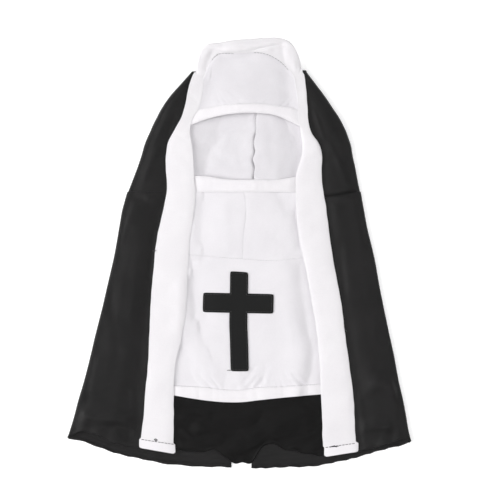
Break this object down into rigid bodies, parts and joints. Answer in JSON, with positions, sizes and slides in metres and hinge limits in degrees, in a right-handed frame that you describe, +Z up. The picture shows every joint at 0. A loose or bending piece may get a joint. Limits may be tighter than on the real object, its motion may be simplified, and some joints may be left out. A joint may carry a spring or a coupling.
{
  "type": "pet nun costume",
  "caption": "Pet nun costume laid flat: black hooded cape with a white band round the face, a white bib and a plain cross.",
  "frame": {"origin": "middle of the box round the garment, on the surface that it lies on", "axes": "+Y to the crown of the hood, +X to the viewer's right, +Z up from the surface through the face opening"},
  "size_m": [0.319, 0.4004, 0.0124],
  "materials": {
    "black_cloth": "soft low sheen, fine twill weave",
    "white_cloth": "matt, fine plain weave"
  },
  "bodies": {
    "root": {"veil_left": "black_cloth", "veil_right": "black_cloth", "cape_left": "black_cloth", "cape_right": "black_cloth", "front_panel": "black_cloth", "coif_left": "white_cloth", "coif_right": "white_cloth", "forehead": "white_cloth", "forehead_binding": "white_cloth", "chin_binding": "white_cloth", "bib": "white_cloth", "bib_hem": "white_cloth", "band": "white_cloth", "cross": "black_cloth"}
  },
  "joints": []
}
